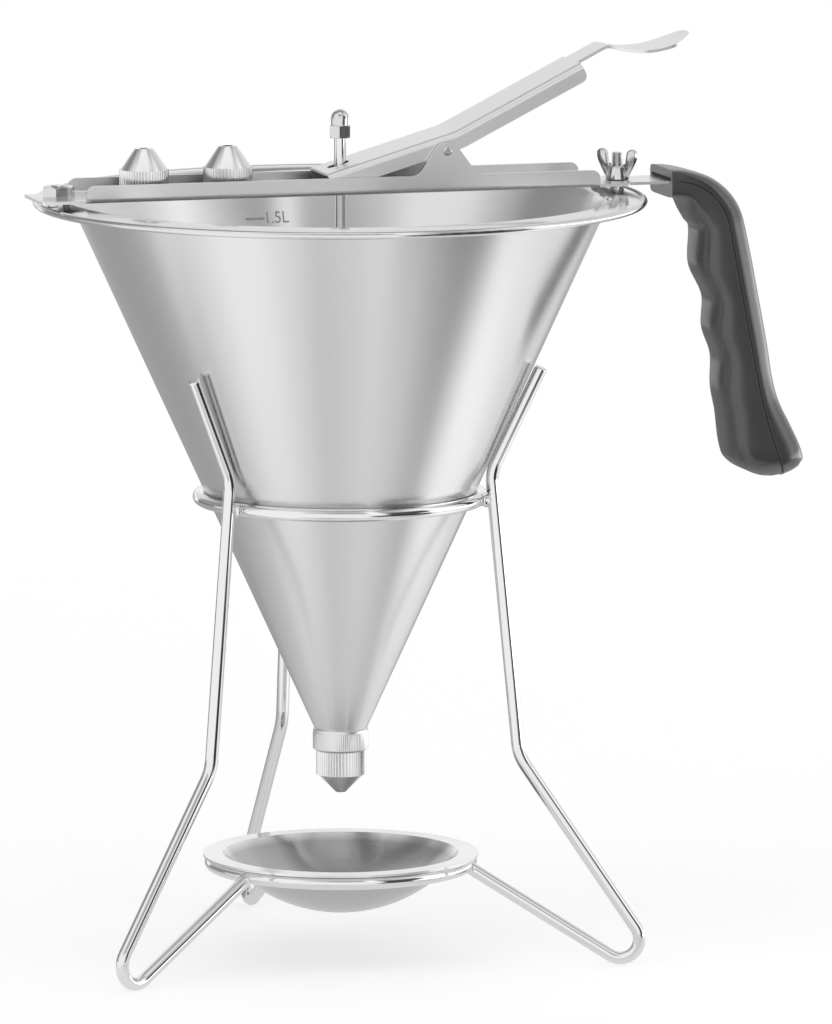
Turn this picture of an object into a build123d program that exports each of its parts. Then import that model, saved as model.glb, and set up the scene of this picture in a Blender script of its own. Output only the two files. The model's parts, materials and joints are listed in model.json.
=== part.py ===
from build123d import *
import math

# Confectionery funnel: a steel cone with a valve rod worked by a thumb lever on a cross bar,
# a pistol handle, spare nozzles on the bar, a bent wire stand and a drip bowl.
# Millimetres. Z is the cone's axis, the floor is z = 0 and the handle points to +X.

# Clearances
fit = 0.05
turn_gap = 0.15
seat_gap = 0.3
sheet_overlap = 1.0

# Cone and its rolled lip
cone_wall = 0.8
outlet_height = 80.3
outlet_bore = 8.36
rim_height = 267.6
rim_radius = 107.0
lip_width = 10.7
lip_bend = 4.0
lip_drop = 1.2
lip_bead = 0.6

# Outlet fitting, valve seat and threaded spigot
collar_radius = 9.75
collar_length = 7.5
collar_chamfer = 0.4
seat_depth = 5.3
outlet_passage = 3.5
spigot_radius = 6.0
spigot_length = 6.4

# Nozzles
skirt_radius = 8.6
skirt_length = 8.8
skirt_edge = 0.4
thread_depth = 7.0
shoulder_radius = 5.0
exit_length = 1.6
fitted_cone = 6.4
fitted_tip = 2.2
fitted_exit = 1.2
fitted_chamfer = 0.4
spare_cone = 7.2
spare_tip = 3.5
spare_exits = (1.4, 1.9)
tip_chamfer = 1.0
spare_inset = 23.9
spare_spacing = 30.0
post_length = 5.6
post_rivet = 2.5

# Cross bar, a U channel of sheet steel with ears, tongues and a tang
bar_lift = 1.5
bar_width = 27.2
bar_sheet = 1.0
bar_bend = 1.8
flange_height = 6.1
flange_left_inset = 12.6
flange_right_inset = 16.4
flange_corner = 3.0
tongue_width = 26.0
tongue_overhang = 3.0
tongue_inset = 5.3
tongue_corner = 0.8
tang_width = 20.0
tang_reach = 11.7
tang_bend = 20.0
tang_turn = 79.0
tang_length = 48.0
stud_inset = 6.1

# Lever pivot and the ears that carry it
pivot_reach = 35.0
pivot_rise = 13.4
pin_radius = 1.5
pin_dome = 0.4
ear_foot_front = 10.8
ear_foot_rear = 10.9
ear_top = 3.1
ear_top_front = 2.7
ear_top_rear = 2.5
ear_round = 2.6
ear_sweep = 5.0

# Thumb lever, an inverted channel with a thumb rest
lever_width = 24.4
lever_sheet = 1.0
lever_bend = 2.2
lever_flange = 6.4
lever_front = -7.7
lever_front_slope = 16.4
lever_front_length = 48.5
lever_rear_slope = 26.6
lever_rear_length = 62.8
lever_crook = 14.0
lever_flange_length = 50.4
lever_end_corner = 2.5
lug_radius = 3.4
neck_width = 14.5
crest_bend = 4.0
crest_run = 3.0
rest_slope = -15.0
rest_reach = 28.2
rest_rise = 4.2
rest_width = 22.0
rest_flare = 9.0
rest_round = 9.0
slot_width = 5.0
slot_length = 7.8
slot_shift = -0.7

# Torsion spring on the pivot pin
spring_wire = 0.8
spring_radius = 2.15
spring_pitch = 1.4
spring_turns = 6
spring_leg_slope = 35.0
spring_tail = 16.0
spring_tail_lift = 1.5
spring_steps = 22
gap_steps = 400

# Valve rod, its plug and its acorn nut
rod_radius = 2.1
rod_slack = 0.1
nut_rise = 17.8
nut_flats = 7.0
nut_hex_length = 4.4
nut_dome_radius = 3.2
nut_length = 10.0
plug_gap = 0.2
plug_length = 3.9
plug_hub_radius = 3.6
plug_hub_length = 3.5
plug_socket = 4.0

# Fasteners at the rim
stud_shoulder = 2.6
hex_stud_radius = 3.0
hex_shoulder = 4.0
hex_nut_flats = 10.0
hex_nut_length = 4.0
stud_point = 0.4
wing_stud_radius = 2.0
wing_stud_length = 9.7
wing_base_radius = 4.2
wing_boss_radius = 3.3
wing_boss_length = 4.8
wing_foot = 0.8
wing_reach = 7.6
wing_height = 10.7
wing_tip = 3.4
wing_thickness = 2.6
wing_round = 1.5
wing_azimuth = -44.0

# Pistol handle in two shells that meet on the tang; its sections stand at places along the seam
handle_lead = 1.6
handle_width = 26.0
seam_straight = 54.0
seam_end_reach = 41.3
seam_end_drop = 106.7
section_places = (0.0, 8.7, 15.4, 23.0, 29.4, 42.3, 54.5, 65.3, 75.6, 86.4, 96.0, 105.0, 114.0, 123.0)
grip_depths = (5.9, 6.8, 9.2, 10.0, 8.6, 12.5, 8.3, 11.4, 9.4, 12.2, 12.6, 13.8, 14.6, 15.0)
spine_depths = (4.0, 4.0, 5.0, 6.5, 7.1, 7.5, 7.5, 7.5, 7.4, 7.1, 7.7, 9.8, 11.7, 12.5)
grip_round_share = 0.56
spine_round_share = 0.72
heel_reach = 37.0
heel_drop = 87.6
heel_radius = 18.4
heel_round = 4.0
peg_radius = 2.5
peg_spots = (14.0, 38.0)
peg_depth = 4.0

# Wire stand
wire_radius = 2.25
leg_azimuths = (-29.0, 93.2, -150.5)
leg_top_height = 209.5
leg_top_gap = 1.0
leg_end_round = 0.7
waist_height = 172.2
leg_bend = 15.0
knee_radius = 63.9
knee_height = 72.5
foot_radius = 100.0
foot_bend = 7.0
upper_ring_drop = 10.0
weld_radius = 2.1

# Drip bowl and the ring it hangs in
bowl_ring_radius = 45.5
bowl_ring_height = 32.7
bowl_sheet = 0.8
bowl_flange_radius = 48.3
bowl_mouth_radius = 41.4
bowl_depth = 20.0
bowl_gap = 0.2

crest_radius = rim_radius - lip_width
lip_centre_height = rim_height - lip_bend
lip_centre_run = math.hypot(crest_radius - outlet_bore, lip_centre_height - outlet_height)
lip_centre_angle = math.atan2(crest_radius - outlet_bore, lip_centre_height - outlet_height)
half_angle = lip_centre_angle - math.asin(lip_bend / lip_centre_run)
stud_reach = rim_radius - stud_inset
bar_bottom = rim_height + bar_lift
bar_top = bar_bottom + bar_sheet
bar_side = bar_width / 2
flange_left = flange_left_inset - rim_radius
flange_right = rim_radius - flange_right_inset
tongue_left = -rim_radius - tongue_overhang
tongue_right = rim_radius - tongue_inset
tang_bend_start = rim_radius + tang_reach
spare_places = (flange_left + spare_inset, flange_left + spare_inset + spare_spacing)
collar_bottom = outlet_height - collar_length
pivot_height = bar_top + pivot_rise
pivot = Vector(pivot_reach, 0, pivot_height)


def save(piece, name):
    """Label a finished piece and write it."""
    piece.part.label = name
    export_step(piece.part, f"parts/{name}.step")


def cone_outside(height):
    """Outer radius of the cone's wall at a height."""
    outside = outlet_bore + cone_wall / math.cos(half_angle)
    return outside + (height - outlet_height) * math.tan(half_angle)


def wire_outside(height, gap):
    """Radius where a wire's centre line runs a gap clear of the cone's wall at a height."""
    return cone_outside(height) + (wire_radius + gap) / math.cos(half_angle)


def flat(point):
    """Pair of a flat point's coordinates."""
    return (point.X, point.Y)


def side_plane(origin, azimuth=0.0, upward=True):
    """Upright plane whose local x points outward at an azimuth and whose local y points up or down."""
    turn = math.radians(azimuth)
    outward = Vector(math.cos(turn), math.sin(turn), 0)
    normal = outward.cross(Vector(0, 0, 1 if upward else -1))
    return Plane(origin=origin, x_dir=outward, z_dir=normal)


# Funnel cone: one revolved sheet, wall and lip
lip_start_height = rim_height - lip_bend * (1 - math.sin(half_angle))
lip_start_radius = outlet_bore + (lip_start_height - outlet_height) * math.tan(half_angle)
lip_edge = (rim_radius - lip_bead, rim_height - lip_drop)
wall_start_height = outlet_height - 2 * cone_wall
wall_start_radius = outlet_bore - 2 * cone_wall * math.tan(half_angle)

with BuildPart() as funnel_cone:
    with BuildSketch(Plane.XZ):
        with BuildLine():
            wall_line = Line((wall_start_radius, wall_start_height), (lip_start_radius, lip_start_height))
            lip_inner = TangentArc(wall_line @ 1, (crest_radius, rim_height), tangent=wall_line % 1)
            TangentArc(lip_inner @ 1, lip_edge, tangent=lip_inner % 1)
            offset(amount=cone_wall, side=Side.RIGHT)
        make_face()
        with Locations((rim_radius - lip_bead, rim_height - lip_drop - cone_wall / 2)):
            Circle(lip_bead)
    revolve(axis=Axis.Z)
    split(bisect_by=Plane.XY.offset(outlet_height), keep=Keep.TOP)
save(funnel_cone, "funnel_cone")

# Outlet fitting: collar, conical valve seat and spigot
with BuildPart() as outlet_fitting:
    with BuildSketch(Plane.XZ):
        with BuildLine():
            Polyline(
                (outlet_bore, outlet_height),
                (outlet_passage, outlet_height - seat_depth),
                (outlet_passage, collar_bottom - spigot_length),
                (spigot_radius, collar_bottom - spigot_length),
                (spigot_radius, collar_bottom),
                (collar_radius, collar_bottom),
                (collar_radius, outlet_height),
                close=True,
            )
        make_face()
    revolve(axis=Axis.Z)
    outer_edges = outlet_fitting.edges().filter_by(GeomType.CIRCLE).sort_by(SortBy.RADIUS)[-2:]
    chamfer(outer_edges, collar_chamfer)
save(outlet_fitting, "outlet_fitting")


def make_nozzle(base, upward, cone_length, tip_radius, exit_radius, chamfer_size):
    """Nozzle of revolution with its open end at base and its tip upward or downward."""
    skirt_inside = spigot_radius + fit
    tip_height = skirt_length + cone_length
    with BuildPart() as nozzle:
        with BuildSketch(side_plane(base, upward=upward)):
            with BuildLine():
                Polyline(
                    (skirt_inside, 0),
                    (skirt_radius - skirt_edge, 0),
                    (skirt_radius, skirt_edge),
                    (skirt_radius, skirt_length),
                    (tip_radius, tip_height - chamfer_size),
                    (tip_radius - chamfer_size, tip_height),
                    (exit_radius, tip_height),
                    (exit_radius, tip_height - exit_length),
                    (shoulder_radius, thread_depth),
                    (skirt_inside, thread_depth),
                    close=True,
                )
            make_face()
        revolve(axis=Axis(base, (0, 0, 1)))
    return nozzle


fitted_base = Vector(0, 0, collar_bottom - turn_gap)
fitted_nozzle = make_nozzle(fitted_base, False, fitted_cone, fitted_tip, fitted_exit, fitted_chamfer)
save(fitted_nozzle, "fitted_nozzle")

for number, (place, exit_radius) in enumerate(zip(spare_places, spare_exits), start=1):
    spare_base = Vector(place, 0, bar_top + turn_gap)
    spare_nozzle = make_nozzle(spare_base, True, spare_cone, spare_tip, exit_radius, tip_chamfer)
    save(spare_nozzle, f"spare_nozzle_{number}")

with BuildPart() as nozzle_posts:
    with BuildSketch(Plane.XY.offset(bar_top)):
        with Locations(*[(place, 0) for place in spare_places]):
            Circle(spigot_radius)
    extrude(amount=post_length)
    with BuildSketch(Plane.XY.offset(bar_bottom)):
        with Locations(*[(place, 0) for place in spare_places]):
            Circle(post_rivet)
    extrude(amount=bar_sheet)
save(nozzle_posts, "nozzle_posts")

# Cross bar: channel, tongues, ears and the tang that carries the handle
flange_top = bar_bottom + flange_height
with BuildLine() as tang_line:
    tang_level = Line((tongue_right - sheet_overlap, bar_top), (tang_bend_start, bar_top))
    tang_curve = JernArc(tang_level @ 1, tang_level % 1, tang_bend, -tang_turn)
    tang_drop = Line(tang_curve @ 1, tang_curve @ 1 + tang_length * (tang_curve % 1))
    offset(amount=bar_sheet, side=Side.RIGHT)
tang_way = Vector((tang_curve % 1).X, 0, (tang_curve % 1).Y)
tang_normal = tang_way.cross(Vector(0, 1, 0)) * -1


def tang_place(distance):
    """Point on the tang's upper face at a distance down its straight part."""
    bend_end = tang_curve @ 1
    return Vector(bend_end.X, 0, bend_end.Y) + distance * tang_way


with BuildPart() as cross_bar:
    with BuildSketch(Plane.YZ.offset(flange_left)):
        with Locations((0, bar_bottom + flange_height / 2)):
            Rectangle(bar_width, flange_height)
        fillet(vertices().group_by(Axis.Y)[0], bar_bend)
    extrude(amount=flange_right - flange_left)
    with BuildSketch(Plane.YZ.offset(flange_left)):
        with Locations((0, bar_top + flange_height / 2)):
            Rectangle(bar_width - 2 * bar_sheet, flange_height)
        fillet(vertices().group_by(Axis.Y)[0], bar_bend - bar_sheet)
    extrude(amount=flange_right - flange_left, mode=Mode.SUBTRACT)
    fillet(edges().filter_by(Axis.Y).group_by(Axis.Z)[-1], flange_corner)

    with BuildSketch(Plane.XY.offset(bar_bottom)):
        with Locations(((tongue_left + flange_left) / 2, 0)):
            Rectangle(flange_left - tongue_left, tongue_width)
        with Locations(((tongue_right + flange_right) / 2, 0)):
            Rectangle(tongue_right - flange_right, tongue_width)
        fillet(vertices().group_by(Axis.X)[0], tongue_corner)
        fillet(vertices().group_by(Axis.X)[-1], tongue_corner)
    extrude(amount=bar_sheet)

    with BuildSketch(Plane.XZ):
        add(make_face(tang_line.line))
    extrude(amount=tang_width / 2, both=True)

    with BuildSketch(Plane.XZ.offset(bar_side)):
        with BuildLine():
            Polyline(
                (pivot_reach - ear_foot_front - 2 * ear_sweep, flange_top - bar_sheet),
                (pivot_reach - ear_foot_front - 2 * ear_sweep, flange_top),
                (pivot_reach - ear_foot_front, flange_top),
                (pivot_reach - ear_top_front, pivot_height + ear_top),
                (pivot_reach + ear_top_rear, pivot_height + ear_top),
                (pivot_reach + ear_foot_rear, flange_top),
                (pivot_reach + ear_foot_rear + 2 * ear_sweep, flange_top),
                (pivot_reach + ear_foot_rear + 2 * ear_sweep, flange_top - bar_sheet),
                close=True,
            )
        make_face()
        fillet(vertices().group_by(Axis.Y)[-1], ear_round)
        ear_feet = vertices().group_by(Axis.Y)[1].sort_by(Axis.X)[1:-1]
        fillet(ear_feet, ear_sweep)
    ear = extrude(amount=-bar_sheet)
    mirror(ear, about=Plane.XZ)

    with Locations(Location(pivot, (90, 0, 0))):
        Cylinder(pin_radius + fit, 2 * bar_width, mode=Mode.SUBTRACT)
    with Locations((0, 0, bar_top)):
        Hole(rod_radius + rod_slack)
    with Locations(*[(place, 0, bar_top) for place in spare_places]):
        Hole(post_rivet + fit)
    with Locations((-stud_reach, 0, bar_top)):
        Hole(hex_stud_radius + fit)
    with Locations((stud_reach, 0, bar_top)):
        Hole(wing_stud_radius + fit)

    for spot in peg_spots:
        peg_plane = Plane(tang_place(spot), x_dir=(0, 1, 0), z_dir=tang_normal)
        with Locations(peg_plane.location):
            Cylinder(peg_radius + fit, 3 * bar_sheet, mode=Mode.SUBTRACT)
save(cross_bar, "cross_bar")

with BuildPart() as lever_pin:
    with BuildSketch(Plane.XZ):
        with Locations((pivot_reach, pivot_height)):
            Circle(pin_radius)
    extrude(amount=bar_side + pin_dome, both=True)
    chamfer(edges().filter_by(GeomType.CIRCLE), pin_dome)
save(lever_pin, "lever_pin")

# Thumb lever: swept channel, then neck and dished thumb rest
front_turn = math.radians(lever_front_slope)
rear_turn = math.radians(lever_rear_slope)
rest_turn = math.radians(rest_slope)
lever_front_height = bar_top + seat_gap + lever_flange * math.cos(front_turn)
front_way = Vector(math.cos(front_turn), math.sin(front_turn))
rear_way = Vector(math.cos(rear_turn), math.sin(rear_turn))
rest_way = Vector(math.cos(rest_turn), math.sin(rest_turn))
lever_nose = Vector(lever_front, lever_front_height)
lever_knee = lever_nose + lever_front_length * front_way
lever_flange_end = lever_knee + lever_flange_length * rear_way
lever_crest = lever_knee + lever_rear_length * rear_way
rest_start = lever_crest + crest_run * rest_way
rest_end = rest_start + Vector(rest_reach, rest_rise)

with BuildLine(Plane.XZ) as lever_line:
    FilletPolyline(flat(lever_nose), flat(lever_knee), flat(lever_flange_end), radius=lever_crook)
nose_plane = Plane(lever_line.line @ 0, x_dir=(0, 1, 0), z_dir=lever_line.line % 0)

with BuildPart() as thumb_lever:
    with BuildSketch(Plane.XZ):
        with BuildLine():
            FilletPolyline(lever_flange_end, lever_crest, rest_start, radius=crest_bend)
            TangentArc(rest_start, rest_end, tangent=rest_way)
            offset(amount=lever_sheet, side=Side.RIGHT)
        make_face()
    extrude(amount=rest_width / 2, both=True)
    with BuildSketch(Plane.XY.offset(bar_top)):
        with BuildLine():
            Polyline(
                (lever_flange_end.X - lever_flange, neck_width / 2),
                (rest_start.X, neck_width / 2),
                (rest_start.X + rest_flare, rest_width / 2),
                (rest_end.X, rest_width / 2),
                (rest_end.X, -rest_width / 2),
                (rest_start.X + rest_flare, -rest_width / 2),
                (rest_start.X, -neck_width / 2),
                (lever_flange_end.X - lever_flange, -neck_width / 2),
                close=True,
            )
        make_face()
        fillet(vertices().group_by(Axis.X)[1:], rest_round)
    extrude(amount=rest_end.Y, mode=Mode.INTERSECT)

    with BuildSketch(nose_plane):
        with Locations((0, -lever_flange / 2)):
            Rectangle(lever_width, lever_flange)
        fillet(vertices().group_by(Axis.Y)[-1], lever_bend)
        with Locations((0, -lever_sheet - lever_flange / 2)):
            Rectangle(lever_width - 2 * lever_sheet, lever_flange, mode=Mode.SUBTRACT)
    sweep(path=lever_line.line)
    short_edges = edges().filter_by(Axis.Y).filter_by(lambda edge: edge.length < 2 * lever_sheet)
    fillet(short_edges.sort_by(Axis.X)[-2:], lever_end_corner)

    with BuildSketch(Plane.XZ.offset(lever_width / 2)):
        with Locations((pivot_reach, pivot_height)):
            Circle(lug_radius)
    lug = extrude(amount=-lever_sheet)
    mirror(lug, about=Plane.XZ)
    with Locations(Location(pivot, (90, 0, 0))):
        Cylinder(pin_radius + fit, 2 * lever_width, mode=Mode.SUBTRACT)
    with BuildSketch(Plane.XY.offset(bar_top)):
        with Locations((slot_shift, 0)):
            SlotOverall(slot_length, slot_width)
    extrude(amount=2 * pivot_rise, mode=Mode.SUBTRACT)
save(thumb_lever, "thumb_lever")

# Return spring: one wound wire from a leg on the bar to a tail under the lever
leg_turn = math.radians(spring_leg_slope)
coil_start = -math.pi / 2 - leg_turn
tail_turn = math.radians(lever_rear_slope + spring_tail_lift)
coil_end = math.pi / 2 + tail_turn - 2 * math.pi * spring_turns
coil_rise = spring_pitch / (2 * math.pi)
coil_middle = (coil_start + coil_end) / 2


def coil_point(angle):
    """Point of the coil's centre line; the coil advances along Y as the angle falls."""
    return pivot + Vector(
        spring_radius * math.cos(angle),
        coil_rise * (coil_middle - angle),
        spring_radius * math.sin(angle),
    )


def coil_way(angle):
    """Direction of the coil's centre line as the angle falls."""
    return Vector(spring_radius * math.sin(angle), coil_rise, -spring_radius * math.cos(angle)).normalized()


def curl(start, start_way, end, end_way):
    """Two tangent arcs from one point and direction to another."""
    chord = end - start
    square = 2 * (start_way.dot(end_way) - 1)
    linear = -2 * chord.dot(start_way + end_way)
    reach = (-linear - math.sqrt(linear**2 - 4 * square * chord.dot(chord))) / (2 * square)
    near = start + start_way * reach
    far = end - end_way * reach
    middle = (near + far) / 2
    TangentArc(start, middle, tangent=start_way)
    TangentArc(middle, end, tangent=far - near)


coil_span = coil_end - coil_start
coil_angles = [coil_start + coil_span * step / spring_steps for step in range(spring_steps + 1)]
leg_drop = coil_point(coil_start).Z - bar_top - spring_wire / 2 - turn_gap
leg_way = coil_way(coil_start)
leg_tip = coil_point(coil_start) - leg_way * (leg_drop / leg_way.Z)
tail_tip = coil_point(coil_end) + coil_way(coil_end) * spring_tail

with BuildPart() as return_spring:
    with BuildLine() as spring_line:
        Line(leg_tip, coil_point(coil_start))
        for first, second in zip(coil_angles, coil_angles[1:]):
            curl(coil_point(first), coil_way(first), coil_point(second), coil_way(second))
        Line(coil_point(coil_end), tail_tip)
    with BuildSketch(Plane(leg_tip, z_dir=leg_way)):
        Circle(spring_wire / 2)
    sweep(path=spring_line.line)
save(return_spring, "return_spring")

fine_angles = [coil_start + coil_span * step / gap_steps for step in range(gap_steps + 1)]
fine_points = [coil_point(angle) for angle in fine_angles]
coil_gaps = [
    (one - other).length - spring_wire
    for place, one in enumerate(fine_points)
    for further, other in enumerate(fine_points[place:], start=place)
    if fine_angles[place] - fine_angles[further] > math.pi
]
print("least gap between the spring's curls", round(min(coil_gaps), 3))

# Valve: rod, plug and acorn nut
seat_slope = (outlet_bore - outlet_passage) / seat_depth
plug_lift = plug_gap / math.sin(math.atan(seat_slope))
plug_bottom = outlet_height - seat_depth + 2 * plug_lift
plug_top = plug_bottom + plug_length
plug_small = outlet_passage + seat_slope * plug_lift
plug_large = plug_small + seat_slope * plug_length
hub_top = plug_top + plug_hub_length
rod_bottom = hub_top - plug_socket
nut_base = bar_top + nut_rise
dome_base = nut_base + nut_length - nut_dome_radius
rod_top = dome_base

with BuildPart() as valve_rod:
    with BuildSketch(Plane.XY.offset(rod_bottom)):
        Circle(rod_radius)
    extrude(amount=rod_top - rod_bottom)
save(valve_rod, "valve_rod")

with BuildPart() as valve_plug:
    with BuildSketch(Plane.XZ):
        with BuildLine():
            Polyline(
                (0, plug_bottom),
                (plug_small, plug_bottom),
                (plug_large, plug_top),
                (plug_hub_radius, plug_top),
                (plug_hub_radius, hub_top),
                (rod_radius + fit, hub_top),
                (rod_radius + fit, rod_bottom),
                (0, rod_bottom),
                close=True,
            )
        make_face()
    revolve(axis=Axis.Z)
save(valve_plug, "valve_plug")

with BuildPart() as acorn_nut:
    with BuildSketch(Plane.XY.offset(nut_base)):
        RegularPolygon(nut_flats / 2, 6, major_radius=False)
    extrude(amount=nut_hex_length)
    with BuildSketch(Plane.XY.offset(nut_base)):
        Circle(nut_dome_radius)
    extrude(amount=dome_base - nut_base)
    with Locations((0, 0, dome_base)):
        Sphere(nut_dome_radius)
    with BuildSketch(Plane.XY.offset(nut_base)):
        Circle(rod_radius + fit)
    extrude(amount=rod_top - nut_base, mode=Mode.SUBTRACT)
save(acorn_nut, "acorn_nut")


# Studs welded on the lip, the hex nut and the wing nut
def make_stud(place, radius, shoulder, top):
    """Stud with a shoulder that stands on the lip and carries the bar."""
    with BuildPart() as stud:
        with BuildSketch(Plane.XY.offset(rim_height - lip_drop)):
            with Locations((place, 0)):
                Circle(shoulder)
        extrude(amount=bar_lift + lip_drop)
        with BuildSketch(Plane.XY.offset(bar_bottom)):
            with Locations((place, 0)):
                Circle(radius)
        extrude(amount=top - bar_bottom)
        chamfer(edges().filter_by(GeomType.CIRCLE).sort_by(Axis.Z)[-1], stud_point)
        add(funnel_cone.part, mode=Mode.SUBTRACT)
        add(stud.solids().sort_by(SortBy.VOLUME)[-1], mode=Mode.REPLACE)
    return stud


save(make_stud(-stud_reach, hex_stud_radius, hex_shoulder, bar_top + hex_nut_length + stud_point), "hex_stud")
save(make_stud(stud_reach, wing_stud_radius, stud_shoulder, bar_top + wing_stud_length), "wing_stud")

with BuildPart() as hex_nut:
    with BuildSketch(Plane.XY.offset(bar_top)):
        with Locations((-stud_reach, 0)):
            RegularPolygon(hex_nut_flats / 2, 6, major_radius=False)
            Circle(hex_stud_radius + fit, mode=Mode.SUBTRACT)
    extrude(amount=hex_nut_length)
save(hex_nut, "hex_nut")

wing_base = Vector(stud_reach, 0, bar_top + turn_gap)
with BuildPart() as wing_nut:
    with BuildSketch(side_plane(wing_base, wing_azimuth)):
        with BuildLine():
            Polyline(
                (0, wing_foot),
                (wing_base_radius, wing_foot),
                (wing_reach, wing_height - wing_tip),
                (wing_reach, wing_height),
                (wing_reach - wing_tip, wing_height),
                (wing_boss_radius, wing_boss_length),
                (0, wing_boss_length),
                close=True,
            )
        make_face()
        fillet(vertices().group_by(Axis.Y)[-2:], wing_round)
        mirror(about=Plane.YZ)
    extrude(amount=wing_thickness / 2, both=True)
    with BuildSketch(side_plane(wing_base)):
        with BuildLine():
            Polyline(
                (0, 0),
                (wing_base_radius, 0),
                (wing_boss_radius, wing_boss_length),
                (0, wing_boss_length),
                close=True,
            )
        make_face()
    revolve(axis=Axis(wing_base, (0, 0, 1)))
    with BuildSketch(Plane.XY.offset(bar_top)):
        with Locations((stud_reach, 0)):
            Circle(wing_stud_radius + fit)
    extrude(amount=2 * wing_height, mode=Mode.SUBTRACT)
save(wing_nut, "wing_nut")

# Pistol handle: one lofted grip parted along the seam, which is the tang's upper face
handle_start = tang_bend_start - handle_lead
seam_end = (tang_bend_start + seam_end_reach, bar_top - seam_end_drop)
heel_centre = (tang_bend_start + heel_reach, bar_top - heel_drop)
with BuildLine() as seam_line:
    seam_level = Line((handle_start, bar_top), (tang_bend_start, bar_top))
    seam_curve = JernArc(seam_level @ 1, seam_level % 1, tang_bend, -tang_turn)
    seam_drop = Line(seam_curve @ 1, seam_curve @ 1 + seam_straight * (seam_curve % 1))
    TangentArc(seam_drop @ 1, seam_end, tangent=seam_drop % 1)
seam = seam_line.wire()


def seam_plane(share):
    """Plane across the handle at a share of the seam's length; its local y points to the spine."""
    place = seam @ share
    way = seam % share
    return Plane((place.X, 0, place.Y), x_dir=(0, 1, 0), z_dir=(way.X, 0, way.Y))


with BuildPart() as handle_body:
    for place, grip_depth, spine_depth in zip(section_places, grip_depths, spine_depths):
        with BuildSketch(seam_plane(min(place / seam.length, 1))):
            with Locations((0, (spine_depth - grip_depth) / 2)):
                Rectangle(handle_width, spine_depth + grip_depth)
            fillet(vertices().group_by(Axis.Y)[0], grip_round_share * grip_depth)
            fillet(vertices().group_by(Axis.Y)[-1], spine_round_share * spine_depth)
    loft()
    with BuildSketch(Plane.XZ):
        with Locations((heel_centre[0], heel_centre[1] - heel_radius)):
            Rectangle(4 * heel_radius, 2 * heel_radius)
        with Locations(heel_centre):
            Circle(heel_radius, mode=Mode.SUBTRACT)
    extrude(amount=handle_width, both=True, mode=Mode.SUBTRACT)
    heel_face = faces().filter_by(GeomType.CYLINDER).sort_by(Axis.Z)[0]
    fillet(heel_face.edges(), heel_round)


def beyond_seam():
    """Flat face that covers everything on the spine's side of the seam."""
    far = seam_end[0] + handle_width
    with BuildSketch(Plane.XZ) as region:
        with BuildLine():
            add(seam_line.line)
            Polyline(
                seam_line.line @ 1,
                seam_line.line @ 1 + handle_width * (seam_line.line % 1),
                (far, seam_end[1] - handle_width),
                (far, bar_top + handle_width),
                (handle_start - sheet_overlap, bar_top + handle_width),
                (handle_start - sheet_overlap, bar_top),
                (handle_start, bar_top),
            )
        make_face()
    return region.sketch


with BuildPart() as handle_spine:
    add(handle_body.part)
    extrude(beyond_seam(), amount=handle_width, both=True, mode=Mode.INTERSECT)
    for spot in peg_spots:
        with BuildSketch(Plane(tang_place(spot), x_dir=(0, 1, 0), z_dir=tang_normal)):
            Circle(peg_radius)
        extrude(amount=bar_sheet + peg_depth)
save(handle_spine, "handle_spine")

with BuildPart() as handle_grip:
    add(handle_body.part)
    extrude(beyond_seam(), amount=handle_width, both=True, mode=Mode.SUBTRACT)
    for spot in peg_spots:
        with BuildSketch(Plane(tang_place(spot), x_dir=(0, 1, 0), z_dir=tang_normal)):
            Circle(peg_radius + fit)
        extrude(amount=bar_sheet + peg_depth + fit, mode=Mode.SUBTRACT)
    add(cross_bar.part, mode=Mode.SUBTRACT)
save(handle_grip, "handle_grip")

# Wire stand
foot_centre = Vector(foot_radius, wire_radius + foot_bend)
leg_top = (wire_outside(leg_top_height, leg_top_gap), leg_top_height)
waist_radius = wire_outside(waist_height, seat_gap)
upper_ring_height = waist_height - upper_ring_drop
waist = (waist_radius, waist_height)
knee = (knee_radius, knee_height)
ring_joint = (bowl_ring_radius, bowl_ring_height)


def foot_touch(point, side):
    """Where a line from a point touches the foot's bend, on one side or the other."""
    away = Vector(*point) - foot_centre
    angle = math.atan2(away.Y, away.X) + side * math.acos(foot_bend / away.length)
    return foot_centre + foot_bend * Vector(math.cos(angle), math.sin(angle))


foot_in = foot_touch(knee, -1)
foot_out = foot_touch(ring_joint, 1)
foot_outward = ((foot_in - foot_centre) + (foot_out - foot_centre)) / 2
foot_tip = foot_centre + foot_bend * Vector(foot_outward.X, foot_outward.Y).normalized()
upper_share = upper_ring_drop / (waist_height - knee_height)
upper_leg_radius = waist_radius + upper_share * (knee_radius - waist_radius)
upper_ring_radius = wire_outside(upper_ring_height, seat_gap)
weld_reach = (upper_ring_radius + upper_leg_radius) / 2
weld_length = upper_leg_radius - upper_ring_radius

with BuildPart() as lower_ring:
    with Locations((0, 0, bowl_ring_height)):
        Torus(bowl_ring_radius, wire_radius)
save(lower_ring, "lower_ring")

leg_names = ("leg_right", "leg_back", "leg_left")
legs = []
for name, azimuth in zip(leg_names, leg_azimuths):
    leg_plane = side_plane((0, 0, 0), azimuth)
    with BuildPart() as leg:
        with BuildLine(leg_plane) as leg_line:
            FilletPolyline(leg_top, waist, knee, flat(foot_in), radius=leg_bend)
            ThreePointArc(flat(foot_in), flat(foot_tip), flat(foot_out))
            Line(flat(foot_out), ring_joint)
        with BuildSketch(Plane(leg_line.line @ 0, z_dir=leg_line.line % 0)):
            Circle(wire_radius)
        sweep(path=leg_line.line)
        fillet(edges().filter_by(GeomType.CIRCLE).sort_by(Axis.Z)[-1], leg_end_round)
        add(lower_ring.part, mode=Mode.SUBTRACT)
    legs.append(leg)
    save(leg, name)

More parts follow.
